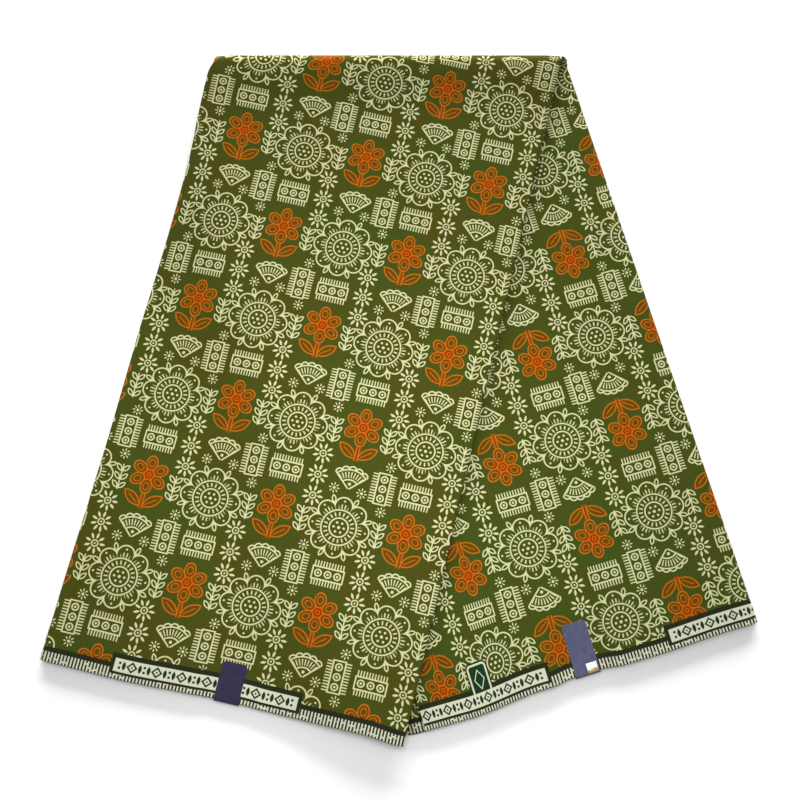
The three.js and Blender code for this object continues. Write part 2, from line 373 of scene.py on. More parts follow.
# %% [markdown]
# ## Drawing with a material
#
# Wax print is line work, thin and crisp. Lines cut into the mesh would need millions of faces, and
# a picture would have to be drawn elsewhere and would blur up close. Instead a material works out,
# at each point, how far it is from the nearest line of the design, and colours it accordingly. To
# keep such sums readable, the class below lets us write them in Python with + - * /, and turns
# each one into a Math node.


# %% Arithmetic as nodes
class Field:
    """A number that varies over a surface: the output of a node, with arithmetic on it."""

    def __init__(self, tree, socket):
        self.tree, self.socket = tree, socket

    def math(self, operation, *others, clamp=False):
        """A Math node on this number and others, which are Fields or plain numbers."""
        node = self.tree.nodes.new("ShaderNodeMath")
        node.operation, node.use_clamp = operation, clamp
        for place, value in zip(node.inputs, (self, *others)):
            if isinstance(value, Field):
                self.tree.links.new(value.socket, place)
            else:
                place.default_value = value
        return Field(self.tree, node.outputs[0])

    def __add__(self, other):
        return self.math("ADD", other)

    def __sub__(self, other):
        return self.math("SUBTRACT", other)

    def __mul__(self, other):
        return self.math("MULTIPLY", other)

    def __truediv__(self, other):
        return self.math("DIVIDE", other)

    def __rsub__(self, other):
        return (self * -1.0).math("ADD", other)

    def __abs__(self):
        return self.math("ABSOLUTE")

    def wrap(self, period):
        """The number brought into one period around 0: what repeats a motif."""
        return self.math("WRAP", period / 2, -period / 2)


print("a Field knows + - * / and abs, and by name math and wrap")

# %% [markdown]
# A shape is a distance: below 0 inside it and above 0 outside. Then the union of two shapes is
# the lesser distance, their overlap is the greater one, and a ring or a line is an absolute value.


# %% Shapes as distances
def either(*fields):
    """The union of shapes: the least of their distances."""
    first, *rest = fields
    for other in rest:
        first = first.math("MINIMUM", other)
    return first


def both(*fields):
    """The overlap of shapes: the greatest of their distances."""
    first, *rest = fields
    for other in rest:
        first = first.math("MAXIMUM", other)
    return first


def length(x, y):
    """Distance from the origin: the root of x² + y²."""
    return (x * x).math("ADD", y * y).math("SQRT")


def polar(x, y):
    """Radius, and angle from the x axis, of a point."""
    return length(x, y), y.math("ARCTAN2", x)


def spoke(radius, angle, count):
    """Place along and across the nearest of `count` spokes evenly set round the centre."""
    near = angle.wrap(2 * math.pi / count)
    return radius * near.math("COSINE"), radius * near.math("SINE")


def turned(x, y, degrees):
    """The same point seen in axes turned by that angle."""
    c, s = math.cos(math.radians(degrees)), math.sin(math.radians(degrees))
    return x * c + y * s, y * c - x * s


def line(distance, width):
    """The shape of a line of that width drawn where distance is 0."""
    return abs(distance) - width / 2


def leaf(along, across, long, wide):
    """Distance from a pointed leaf: the overlap of two circles, `long` and `wide` are its halves."""
    radius = (long * long + wide * wide) / (2 * wide)
    return length(along, abs(across) + (radius - wide)) - radius


def ink(distance, softness=0.12):
    """1 inside a shape and 0 outside, with an edge that is soft by that many millimetres."""
    return (distance * (-0.5 / softness)).math("ADD", 0.5, clamp=True)


LINE, FINE, THIN, HAIRLINE = 1.2, 1.0, 0.9, 0.8  # widths of a printed line, mm
print("printed lines are", HAIRLINE, "to", LINE, "mm wide")

# %% [markdown]
# ## The motifs
#
# Each motif is a function of a place x, y in millimetres from its own centre, and gives the
# distance to its nearest line. They are ordinary forms: a round rosette, a daisy, a star, a twig,
# a fan, a combed frame, and an orange blossom on a stem. What goes round a centre is drawn once,
# in polar coordinates, and folded round by `spoke`, which keeps the number of nodes small. In the
# names of their sizes, AT is a place from the centre, STEP a repeat, and SIZE or RING a radius.

# %% Petals of the rosette
PETALS, PETALS_AT, PETAL_SIZE, PETALS_FROM = 8, 18.3, 7.5, 15.4
DOTS_AT, DOT_SIZE = 22.6, 0.85  # a dot in each petal
BUDS_AT, BUD_LONG, BUD_WIDE = 25.0, 3.2, 1.5  # a bud between each two
HATCHES, HATCH_AT, HATCH_LONG, HATCH_WIDE = 40, 17.9, 3.6, 8.0  # at each petal's foot


def rosette_petals(radius, angle):
    """Eight circles set on a ring, each with a dot and a hatched foot, and buds between them."""
    petal_x, petal_y = spoke(radius, angle, PETALS)
    outlines = line(length(petal_x - PETALS_AT, petal_y) - PETAL_SIZE, LINE)
    petals = both(outlines, PETALS_FROM - radius)
    dots = length(petal_x - DOTS_AT, petal_y) - DOT_SIZE
    bud_x, bud_y = spoke(radius, angle + math.pi / PETALS, PETALS)
    buds = line(leaf(bud_x - BUDS_AT, bud_y, BUD_LONG, BUD_WIDE), FINE)
    _, hatch_y = spoke(radius, angle + math.pi / HATCHES, HATCHES)
    feet = both(line(radius - HATCH_AT, HATCH_LONG), line(petal_y, HATCH_WIDE))
    return either(petals, dots, buds, both(line(hatch_y, FINE), feet))


print("rosette:", PETALS, "petals, about", 2 * (PETALS_AT + PETAL_SIZE), "mm across")

# %% Middle of the rosette
BARS, BARS_AT, BAR_LONG, BAR_WIDE = 20, 11.4, 3.2, 1.15
OUTER_RING, INNER_RING = 14.9, 8.0
SEEDS, SEEDS_AT, SEED_SIZE, EYE_SIZE = 6, 4.4, 1.0, 1.3


def rosette(x, y):
    """The petals round a band of short bars between two rings, with six dots round a seventh."""
    radius, angle = polar(x, y)
    _, bar_y = spoke(radius, angle + math.pi / BARS, BARS)
    band = both(line(bar_y, BAR_WIDE), line(radius - BARS_AT, BAR_LONG))
    rings = either(line(radius - OUTER_RING, LINE), line(radius - INNER_RING, LINE))
    seed_x, seed_y = spoke(radius, angle, SEEDS)
    seeds = either(length(seed_x - SEEDS_AT, seed_y) - SEED_SIZE, radius - EYE_SIZE)
    return either(rosette_petals(radius, angle), band, rings, seeds)


print("its middle:", BARS, "bars and", SEEDS + 1, "dots in a ring of", 2 * OUTER_RING, "mm")

# %% Daisy and star
DAISY_PETALS, DAISY_PETALS_AT, DAISY_PETAL = 9, 6.4, 2.7
DAISY_RING, DAISY_LINE, DAISY_EYE = 2.6, 1.05, 0.8
STAR_RAYS, STAR_DOT, STAR_RAYS_AT, STAR_RAY = 8, 1.2, 3.4, 2.2


def daisy(x, y):
    """A ring with a dot in it and nine solid leaf-shaped petals round it."""
    radius, angle = polar(x, y)
    along, across = spoke(radius, angle, DAISY_PETALS)
    petals = leaf(along - DAISY_PETALS_AT, across, DAISY_PETAL, FINE)
    return either(line(radius - DAISY_RING, DAISY_LINE), radius - DAISY_EYE, petals)


def star(x, y):
    """A dot with eight short rays."""
    radius, angle = polar(x, y)
    _, ray_y = spoke(radius, angle, STAR_RAYS)
    rays = both(line(ray_y, THIN), line(radius - STAR_RAYS_AT, STAR_RAY))
    return either(radius - STAR_DOT, rays)


print("daisy of", DAISY_PETALS, "petals, star of", STAR_RAYS, "rays")

# %% Twig
TWIG_STEP, TWIG_LONG, TWIG_SINK, TWIG_SPREAD = 7.4, 22.2, 1.0, 48  # the last is in degrees
LEAF_AT, LEAF_RISE, LEAF_LONG, LEAF_WIDE = 3.0, 0.4, 3.5, 1.55


def twig(x, y):
    """A straight stem with three pairs of pointed leaves, one pair wrapped along it."""
    up = y + TWIG_SINK
    pair_y = up.wrap(TWIG_STEP)
    leaf_x, leaf_y = turned(abs(x) - LEAF_AT, pair_y - LEAF_RISE, TWIG_SPREAD)
    leaves = line(leaf(leaf_x, leaf_y, LEAF_LONG, LEAF_WIDE), FINE)
    return both(either(leaves, line(x, FINE)), line(up, TWIG_LONG))


print("twig of", TWIG_LONG, "mm with", round(TWIG_LONG / TWIG_STEP), "pairs of leaves")

# %% Fan
FAN_FOOT, FAN_OPEN = 11.5, 0.82  # the foot lies below the centre; half the angle, in radians
FAN_RIM, FAN_INNER = 17.6, 9.0  # radii of its two arcs
FAN_RIBS_AT, FAN_RIB_LONG, FAN_RIB_STEP, FAN_RIB_RADIUS = 13.2, 5.2, 2.55, 14.0
SCALLOP_STEP, SCALLOP_SIZE, SCALLOPS_FROM = 5.77, 2.9, 17.4
FAN_SIDES_AT, FAN_SIDE_LONG, FAN_SIDE_IN = 9.4, 16.4, 0.5
FAN_DOT_DOWN, FAN_DOT = 6.2, 1.3


def fan(x, y):
    """A sector of rings and ribs that opens upwards, with a scalloped edge."""
    radius, angle = polar(y + FAN_FOOT, x)
    inside = (abs(angle) - FAN_OPEN) * radius
    rib = line((angle * FAN_RIB_RADIUS).wrap(FAN_RIB_STEP), FINE)
    ribs = both(rib, line(radius - FAN_RIBS_AT, FAN_RIB_LONG))
    arcs = either(line(radius - FAN_RIM, LINE), line(radius - FAN_INNER, LINE))
    along_rim = (angle * FAN_RIM).wrap(SCALLOP_STEP)
    scallop = line(length(radius - FAN_RIM, along_rim) - SCALLOP_SIZE, LINE)
    scallops = both(scallop, SCALLOPS_FROM - radius)
    sides = both(line(inside + FAN_SIDE_IN, LINE), line(radius - FAN_SIDES_AT, FAN_SIDE_LONG))
    dot = length(x, y + FAN_DOT_DOWN) - FAN_DOT
    return either(both(either(ribs, arcs, scallops), inside), sides, dot)


print("fan", round(2 * math.degrees(FAN_OPEN)), "degrees wide")

# %% Combed frame
FRAME_WIDE, FRAME_HIGH, FRAME_OUT, TEETH_OUT = 13.2, 5.2, 13.8, 13.7  # halves
TOOTH_STEP, TEETH_AT, TOOTH_LONG = 2.4, 7.9, 4.8
RING_STEP, RING_SIZE, RINGS_WITHIN = 8.2, 2.7, 12.2


def combed_frame(x, y):
    """A frame with comb teeth on its long sides and a row of three rings inside."""
    edge = both(line(both(abs(x) - FRAME_WIDE, abs(y) - FRAME_HIGH), LINE), abs(x) - FRAME_OUT)
    tooth = both(line(x.wrap(TOOTH_STEP), FINE), line(abs(y) - TEETH_AT, TOOTH_LONG))
    teeth = both(tooth, abs(x) - TEETH_OUT)
    ring = length(x.wrap(RING_STEP), y)
    rings = both(either(line(ring - RING_SIZE, LINE), ring - FINE), abs(x) - RINGS_WITHIN)
    return either(edge, teeth, rings)


print("frame", 2 * FRAME_OUT, "mm long, with", round(2 * TEETH_OUT / TOOTH_STEP), "teeth on a side")

# %% Orange blossom
BLOSSOM_UP, BLOSSOM_PETALS = 7.5, 6  # the flower's centre lies above the motif's
OVAL_AT, OVAL_LONG, OVAL_WIDE, OVAL_MEAN, OVAL_INNER = 10.2, 6.1, 4.6, 5.0, 2.4
SIDE_LEAF_AT, SIDE_LEAF_DOWN, SIDE_LEAF_SPREAD = 8.8, 14.2, 36
SIDE_LEAF_LONG, SIDE_LEAF_WIDE = 9.2, 3.9
VEIN_BACK, VEIN_LONG = 1.0, 11.0
STEM_WIDE, STEM_LONG, STEM_DOWN = 3.4, 12.0, 15.4
STEM_LINES_AT, STEM_LINES_DOWN = 1.3, 15.6
HEART_SIZE, PISTIL_SIZE = 4.2, 1.6


def blossom(x, y):
    """
    Six oval petals round a ring, on a stem with two pointed leaves. Returns four distances: to
    the outlines, to the insides of petals and leaves, to the whole shape and to its heart.
    """
    radius, angle = polar(x, y - BLOSSOM_UP)
    along, across = spoke(radius, angle - math.pi / BLOSSOM_PETALS, BLOSSOM_PETALS)
    petals = (length((along - OVAL_AT) / OVAL_LONG, across / OVAL_WIDE) - 1.0) * OVAL_MEAN
    leaf_x, leaf_y = turned(abs(x) - SIDE_LEAF_AT, y + SIDE_LEAF_DOWN, SIDE_LEAF_SPREAD)
    leaves = leaf(leaf_x, leaf_y, SIDE_LEAF_LONG, SIDE_LEAF_WIDE)
    stem = both(line(x, STEM_WIDE), line(y + STEM_DOWN, STEM_LONG))
    heart = radius - HEART_SIZE
    outlines = either(line(petals, FINE), line(leaves, FINE), line(heart, FINE))
    pistil = line(radius - PISTIL_SIZE, THIN)
    vein = both(line(leaf_y, HAIRLINE), line(leaf_x + VEIN_BACK, VEIN_LONG))
    inner = either(line(petals + OVAL_INNER, HAIRLINE), vein)
    stem_lines = line(abs(x) - STEM_LINES_AT, THIN)
    stem_lines = both(stem_lines, line(y + STEM_LINES_DOWN, STEM_LONG))
    lines = either(outlines, pistil, inner, stem_lines)
    return lines, either(petals, leaves), either(petals, leaves, stem, heart), heart


print("blossom:", BLOSSOM_PETALS, "petals on a stem of", STEM_LONG, "mm")

# %% [markdown]
# ## The layout
#
# Cloth is printed by rollers or blocks, so its design repeats. This repeat is a half drop: a motif
# stands at every corner and at every middle of a rectangle. Each copy could be drawn by itself,
# but a point needs to know only the copy that it lies nearest to, the corner one or the middle
# one, whichever diamond it is in. Where a motif comes twice, side by side, an absolute value folds
# the two places into one.

# %% Layout of the repeat
REPEAT_X, REPEAT_Y = 112.0, 160.0  # mm
ROSETTE_AT, BLOSSOM_AT = (0, 0), (REPEAT_X / 2, 0)
FRAME_AT, DAISY_AT = (REPEAT_X / 4, REPEAT_Y / 4), (-REPEAT_X / 4, REPEAT_Y / 4)
TWIGS_BESIDE, TWIGS_UP, FAN_ABOVE = 32.7, 1.5, 44.0  # from the rosette
STARS_BESIDE, STARS_ABOVE = 11.8, 32.2  # from the rosette
LYING_FRAME_X, LYING_FRAME_Y = 0.6, 39.4  # from the blossom
STAR_BY_FRAME_X, STAR_BY_FRAME_Y = 3.0, 19.6  # from the upright frame
DAISY_APART = 18.4


def diamond(x, y, at):
    """Place from the nearest copy of a motif that stands at `at` in each half-drop repeat."""
    corner_x, corner_y = (x - at[0]).wrap(REPEAT_X), (y - at[1]).wrap(REPEAT_Y)
    middle_x = (corner_x + REPEAT_X / 2).wrap(REPEAT_X)
    middle_y = (corner_y + REPEAT_Y / 2).wrap(REPEAT_Y)
    reach = abs(corner_x) / REPEAT_X + abs(corner_y) / REPEAT_Y
    inside = reach.math("LESS_THAN", 0.5)
    return middle_x + (corner_x - middle_x) * inside, middle_y + (corner_y - middle_y) * inside


def cream_motifs(x, y):
    """Distance to all that is printed in cream, one group of motifs round each of four places."""
    rose_x, rose_y = diamond(x, y, ROSETTE_AT)
    round_rosette = either(
        rosette(rose_x, rose_y),
        twig(abs(rose_x) - TWIGS_BESIDE, rose_y - TWIGS_UP),
        fan(rose_x, rose_y - FAN_ABOVE),
        star(abs(rose_x) - STARS_BESIDE, rose_y - STARS_ABOVE),
    )
    over_x, over_y = diamond(x, y, BLOSSOM_AT)
    lying_frame = combed_frame(over_x - LYING_FRAME_X, over_y - LYING_FRAME_Y)
    frame_x, frame_y = diamond(x, y, FRAME_AT)
    stars = star(frame_x - STAR_BY_FRAME_X, abs(frame_y) - STAR_BY_FRAME_Y)
    upright_frame = either(combed_frame(frame_y, frame_x), stars)
    daisy_x, daisy_y = diamond(x, y, DAISY_AT)
    daisies = either(daisy(daisy_x, abs(daisy_y) - DAISY_APART), daisy(daisy_x, daisy_y))
    return either(round_rosette, lying_frame, upright_frame, daisies)


print("the print repeats every", REPEAT_X, "x", REPEAT_Y, "mm, in a half drop")

# %% [markdown]
# ## The selvedge
#
# Along each hem runs a printed border: a comb of cream bars on near-black, some of them linked
# across, a dark band, and here and there a long cream box with plain dark marks in it. It is drawn
# as the motifs are, but on the map `selvedge`, so that it follows the hem. Whether two bars are
# linked, and how high, is drawn from white noise, a random number for each whole number.

# %% Comb, links and dark ground
COMB_PITCH, COMB_BAR, COMB_FROM, COMB_HIGH = 2.8, 1.32, 0.4, 8.6
LINK_WIDE, LINK_FROM, LINK_SPAN = 1.3, 1.8, 5.0
LINK_CHANCE, LINK_SEED = 0.5, 0.37
BAND_TOP = 12.7
BOX_REPEAT, BOX_HALF, BOX_LOW, BOX_HIGH, BOX_BAND_TOP = 261.0, 76.6, 6.3, 17.0, 21.1
BESIDE_BOX, UNDER_BOX = 3.2, 2.1  # dark margins of the box


def white_noise(field):
    """A random number, the same each run, for each whole number."""
    node = field.tree.nodes.new("ShaderNodeTexWhiteNoise")
    node.noise_dimensions = "1D"
    field.tree.links.new(field.socket, node.inputs["W"])
    return Field(field.tree, node.outputs["Value"])


def comb_and_ground(u, to_hem, around):
    """Distances to the comb's bars and links, and to the dark ground; around is the box's side."""
    number = (u / COMB_PITCH).math("FLOOR")
    bars = line(u - (number + 0.5) * COMB_PITCH, COMB_BAR)
    gap_number = (u / COMB_PITCH + 0.5).math("FLOOR")
    link_at = white_noise(gap_number) * LINK_SPAN + LINK_FROM
    linked = LINK_CHANCE - white_noise(gap_number + LINK_SEED)
    links = both(line(to_hem - link_at, LINK_WIDE), linked)
    beside_box = both(to_hem - COMB_HIGH, around * -1.0)
    under_box = both(around, to_hem - (BOX_LOW - UNDER_BOX))
    comb = both(either(bars, links), either(beside_box, under_box), COMB_FROM - to_hem)
    return comb, either(to_hem - BAND_TOP, both(around, to_hem - BOX_BAND_TOP))


print("the comb has about", round(STRIP * 1000 / COMB_PITCH), "bars along a hem")

# %% Boxes and their marks
MARK_REPEAT, MARK_MARGIN = 20.6, 2.9
LOZENGE_SIZE, LOZENGE_LINE, LOZENGE_DOT = 3.7, 2.0, 1.0
MARK_LEAF_AT, MARK_LEAF_LONG, MARK_LEAF_WIDE = 6.7, 3.6, 1.5
PAIR_APART, PAIR_SIZE = 2.0, 1.1


def border(u, to_hem):
    """Distances to the comb's bars, the cream boxes, the marks in them, and the dark ground."""
    box_u = u.wrap(BOX_REPEAT)
    above_middle = to_hem - (BOX_LOW + BOX_HIGH) / 2
    box = both(abs(box_u) - BOX_HALF, line(above_middle, BOX_HIGH - BOX_LOW))
    comb, ground = comb_and_ground(u, to_hem, abs(box_u) - (BOX_HALF + BESIDE_BOX))
    mark_u, middle = abs(box_u.wrap(MARK_REPEAT)), abs(above_middle)
    slant = mark_u + middle
    lozenge = either(line(slant - LOZENGE_SIZE, LOZENGE_LINE), slant - LOZENGE_DOT)
    leaves = leaf(middle, mark_u - MARK_LEAF_AT, MARK_LEAF_LONG, MARK_LEAF_WIDE)
    pairs = length(mark_u - MARK_REPEAT / 2, middle - PAIR_APART) - PAIR_SIZE
    marks = both(either(lozenge, leaves, pairs), abs(box_u) - (BOX_HALF - MARK_MARGIN))
    return comb, box, marks, ground


print("boxes of", 2 * BOX_HALF, "x", round(BOX_HIGH - BOX_LOW, 1), "mm, every", BOX_REPEAT, "mm")

# %% The panel above a box
PANEL_LEFT, PANEL_UP = 17.5, 27.0  # its centre, from the box's middle and from the hem
PANEL_WIDE, PANEL_HIGH, PANEL_ROUND = 5.6, 9.0, 3.0  # halves of its core, and the round edge
PANEL_LINE, PANEL_DARK = 1.6, 2.2
PANEL_LOZENGE, PANEL_SLENDER, PANEL_LOZENGE_LINE = 7.6, 1.6, 1.5
SECOND_HALF_FROM = 600.0  # the second selvedge's half of the cloth


def cartouche(u, y, to_hem):
    """A plain upright panel with round corners and a lozenge in it, on the second selvedge only."""
    across, up = u.wrap(BOX_REPEAT) + PANEL_LEFT, to_hem - PANEL_UP
    past_x = (abs(across) - PANEL_WIDE).math("MAXIMUM", 0.0)
    past_y = (abs(up) - PANEL_HIGH).math("MAXIMUM", 0.0)
    panel = length(past_x, past_y) - PANEL_ROUND
    lozenge = abs(across) * PANEL_SLENDER + abs(up) - PANEL_LOZENGE
    on_second = SECOND_HALF_FROM - y
    lines = either(line(panel, PANEL_LINE), line(lozenge, PANEL_LOZENGE_LINE))
    return both(panel - PANEL_DARK, on_second), both(panel, on_second), both(lines, on_second)


print("panel of", 2 * (PANEL_WIDE + PANEL_ROUND), "x", 2 * (PANEL_HIGH + PANEL_ROUND), "mm")

# %% [markdown]
# ## The cotton
#
# Wax print is a close plain weave. Its olive ground was dyed in a vat and is a little uneven, with
# slow brown and green clouds. The colours below are mixed one over the other in the order in which
# they are printed: the ground, the orange, the cream, and the border last. The threads are far
# finer than the mesh, so they are bump: two crossed sine waves and a little slub.


# %% Colours
def linear(red, green, blue):
    """A screen colour from 0 to 255 as the linear colour that Blender mixes."""
    values = np.array([red, green, blue]) / 255
    out = np.where(values <= 0.04045, values / 12.92, ((values + 0.055) / 1.055) ** 2.4)
    return (*map(float, out), 1.0)


OLIVE = linear(64, 66, 19)
BROWN_OLIVE = linear(70, 61, 15)
GRASS = linear(53, 71, 23)
CREAM = linear(186, 187, 140)
COMB_CREAM = linear(190, 189, 166)
BOX_CREAM = linear(190, 191, 168)
ORANGE = linear(163, 96, 22)
FLAME = linear(176, 80, 12)
EMBER = linear(121, 54, 4)
RUST = linear(90, 60, 9)
NEAR_BLACK = linear(35, 40, 24)
BOTTLE = linear(22, 50, 28)
print("the olive ground reflects", np.round(OLIVE[:3], 3).tolist())


# %% Nodes for mixing, clouds and coordinates
MM_IN_METRE = 1000.0


def paint(tree, under, over, share):
    """A Mix Color node that lays one colour over another by a share from 0 to 1."""
    node = tree.nodes.new("ShaderNodeMix")
    node.data_type = "RGBA"
    for place, value in ((6, under), (7, over)):
        if isinstance(value, bpy.types.NodeSocket):
            tree.links.new(value, node.inputs[place])
        else:
            node.inputs[place].default_value = value
    tree.links.new(share.socket, node.inputs[0])
    return node.outputs[2]


def noise(tree, vector, scale, detail, low=0.3, high=0.7):
    """A cloudy pattern, stretched so that its range from low to high goes from 0 to 1."""
    node = tree.nodes.new("ShaderNodeTexNoise")
    node.inputs["Scale"].default_value = scale
    node.inputs["Detail"].default_value = detail
    tree.links.new(vector, node.inputs["Vector"])
    field = Field(tree, node.outputs["Fac"])
    return ((field - low) / (high - low)).math("ADD", 0.0, clamp=True)


def new_material(name):
    """A material with its default shader, and that shader."""
    material = bpy.data.materials.new(name)
    material.use_nodes = True
    return material, material.node_tree, material.node_tree.nodes["Principled BSDF"]


def raise_by(tree, shader, height, strength, distance):
    """Links a height to the shader's normal by a Bump node."""
    bump = tree.nodes.new("ShaderNodeBump")
    bump.inputs["Strength"].default_value = strength
    bump.inputs["Distance"].default_value = distance
    tree.links.new(height.socket, bump.inputs["Height"])
    tree.links.new(bump.outputs[0], shader.inputs["Normal"])


def uv_fields(tree, map_name):
    """The two coordinates of a UV map in millimetres, and the map's own output."""
    uv = tree.nodes.new("ShaderNodeUVMap")
    uv.uv_map = map_name
    split = tree.nodes.new("ShaderNodeSeparateXYZ")
    tree.links.new(uv.outputs[0], split.inputs[0])
    u, v = (Field(tree, socket) * MM_IN_METRE for socket in (split.outputs[0], split.outputs[1]))
    return u, v, uv.outputs[0]


print("materials read their coordinates in mm,", round(MM_IN_METRE), "to the metre")

# %% Cotton material
THREAD = 0.42  # mm from one thread to the next but one
BROWN_SHARE, GREEN_SHARE = 0.8, 0.6  # of the clouds, where they are deepest
GREENER_LONG, GREENER_FROM = 1500.0, 0.35  # the far half of the cloth is greener
HALO_OUT, HALO_SOFT, HALO_SHARE = 5.0, 4.0, 0.7  # mm round a blossom
EMBER_OUT, RUST_IN, DYE_SOFT = 0.8, 0.7, 0.4
FLAME_OUT, FLAME_SOFT = 4.0, 3.0  # the heart's lines are redder than the tips


def dyed_ground(tree, cloth, y):
    """The olive ground with brown clouds, and green ones that grow towards the second selvedge."""
    brown = noise(tree, cloth, scale=16, detail=3, low=0.48, high=0.72) * BROWN_SHARE
    green = noise(tree, cloth, scale=11, detail=3, low=0.50, high=0.74) * GREEN_SHARE
    far = (y / GREENER_LONG).math("SUBTRACT", GREENER_FROM, clamp=True)
    return paint(tree, paint(tree, OLIVE, BROWN_OLIVE, brown), GRASS, green + far)


def orange_print(tree, x, y, colour):
    """The blossoms, laid over a colour: a green halo, the dark shape, its insides and its lines."""
    outlines, insides, whole, heart = blossom(*diamond(x, y, BLOSSOM_AT))
    colour = paint(tree, colour, GRASS, ink(whole - HALO_OUT, HALO_SOFT) * HALO_SHARE)
    colour = paint(tree, colour, EMBER, ink(whole - EMBER_OUT, DYE_SOFT))
    colour = paint(tree, colour, RUST, ink(insides + RUST_IN, DYE_SOFT))
    orange = paint(tree, ORANGE, FLAME, ink(heart - FLAME_OUT, FLAME_SOFT))
    return paint(tree, colour, orange, ink(outlines))


def border_print(tree, y, colour):
    """The border of both selvedges, laid over a colour."""
    u, to_hem, _ = uv_fields(tree, "selvedge")
    comb, box, marks, dark = border(u, to_hem)
    around_panel, panel, panel_lines = cartouche(u, y, to_hem)
    colour = paint(tree, colour, NEAR_BLACK, ink(either(dark, around_panel)))
    colour = paint(tree, colour, BOTTLE, ink(panel))
    colour = paint(tree, colour, BOX_CREAM, ink(panel_lines))
    colour = paint(tree, colour, COMB_CREAM, ink(comb, softness=0.15))
    colour = paint(tree, colour, BOX_CREAM, ink(box))
    return paint(tree, colour, BOTTLE, ink(marks))


def printed_cotton():
    """The whole print, and the weave under it."""
    material, tree, shader = new_material("printed_cotton")
    x, y, cloth = uv_fields(tree, "cloth")
    colour = orange_print(tree, x, y, dyed_ground(tree, cloth, y))
    colour = paint(tree, colour, CREAM, ink(cream_motifs(x, y)))
    colour = border_print(tree, y, colour)
    tree.links.new(colour, shader.inputs["Base Color"])
    turns = 2 * math.pi / THREAD
    threads = (x * turns).math("SINE") * (y * turns).math("SINE")
    slub = noise(tree, cloth, scale=900, detail=2)
    raise_by(tree, shader, threads * 0.5 + slub, strength=0.25, distance=0.1 * MM)
    shader.inputs["Roughness"].default_value = 0.6
    shader.inputs["Sheen Weight"].default_value = 0.01
    shader.inputs["Sheen Roughness"].default_value = 0.4
    shader.inputs["Specular IOR Level"].default_value = 0.008
    print("printed_cotton has", len(tree.nodes), "nodes")
    return material


COTTON_PRINT = printed_cotton()

# %% [markdown]
# ## The two faces
#
# The outermost layer is the front's face and goes over the fold to the underside of the back. The
# innermost layer is the face of the back. At the strip's sides each turns down in a small lip, as
# it goes round the edge of the pile. A flat plane would leave a sharp edge there, so the section
# ends in a quarter circle on each side. The back's face is pleated a little short on the left, so
# that the next layer shows beside it.

# %% Section of a face
FACE_ROWS = (120, 26, 120)  # on the front, the fold and the back
FLAT_COLUMNS = 76
LIP = 1.45 * MM
LIP_TURNS = np.radians([15, 35, 55, 75, 90])
FACE_HEIGHT = STACK / 2 - COTTON / 2


def face_section():
    """Centres and turning angles of a section's points: flat between two quarter circles."""
    edge, lip = STRIP / 2 - LIP, np.ones(len(LIP_TURNS))
    turns = np.concatenate([-LIP_TURNS[::-1], np.zeros(FLAT_COLUMNS + 1), LIP_TURNS])
    centres = np.concatenate([-edge * lip, np.linspace(-edge, edge, FLAT_COLUMNS + 1), edge * lip])
    return centres, turns


print("a face has", len(face_section()[0]), "points across and", sum(FACE_ROWS), "along")

# %% Face layers
STEP_IN, STEP_FROM, STEP_LENGTH = 15 * MM, -55 * MM, 250 * MM
SIDE_BOW, BOW_RATE, BOW_PHASE = 0.35 * MM, 5.2, 0.6  # the sides are a slow sine wave
FOLD_LONG = 20 * MM  # along the fold, for slow waves
OUTER_START, INNER_START, HIDDEN_START = 277 * MM, 155 * MM, 95 * MM  # where the print begins


def along_rows(rows):
    """Nominal distance along the strip of each row, from the front hem: used for slow waves."""
    front_rows, fold_rows, back_rows = rows
    front = np.linspace(0, FRONT["length"], front_rows, endpoint=False)
    fold = FRONT["length"] + np.linspace(0, FOLD_LONG, fold_rows)
    back = fold[-1] + BACK["length"] * np.linspace(0, 1, back_rows + 1)[1:]
    return np.concatenate([front, fold, back])[:, None]


def stepped_in(t, height, turns, along):
    """The face of the back drawn in on its left, more towards its hem, and flat there, with no lip."""
    step = STEP_IN * (1 - smooth(along[-1] - along, 0, STEP_LENGTH))
    on_back = along > FRONT["length"] + FOLD_LONG
    share = np.clip((t - STEP_FROM) / (-STRIP / 2 - STEP_FROM), 0, None)
    stepped = np.where(on_back, t + step * share, t)
    return stepped, np.where(on_back & (turns < 0), FACE_HEIGHT, height)


def face_layer(name, facing, print_start):
    """A layer on the outside of the stack: a section with two lips, carried from hem to hem."""
    centres, turns = face_section()
    t = (centres + LIP * np.sin(turns))[None, :]
    height = FACE_HEIGHT - LIP * (1 - np.cos(turns))[None, :]
    along = along_rows(FACE_ROWS)
    t = t + SIDE_BOW * np.sin(BOW_RATE * along + BOW_PHASE + facing) * (t / (STRIP / 2)) ** 2
    if facing < 0:
        t, height = stepped_in(t, height, turns[None, :], along)
    u = print_start + facing * (centres + LIP * turns)
    points, uv_maps = carry(t, facing * height, u, FACE_ROWS)
    return grid_mesh(name, points, uv_maps, COTTON_PRINT, COTTON, flip=facing > 0)


outer_layer = face_layer("outer_face", 1, OUTER_START)
inner_layer = face_layer("inner_face", -1, INNER_START)
for piece, node in ((outer_layer, "outer_layer"), (inner_layer, "inner_layer")):
    take_place(piece, node)

# %% [markdown]
# ## The layers between
#
# The 16 layers between the faces are one sheet, pleated to and fro. Only their edges show, as fine
# ridges at the sides and the hems. A solid block with a ridged bump would look like a book, so the
# layers are really there. Their section is a zigzag: flat runs, one above the other, joined at the
# sides by small half circles. No two pleats reach quite as far, and that is what makes the edge of
# a pile of cloth.

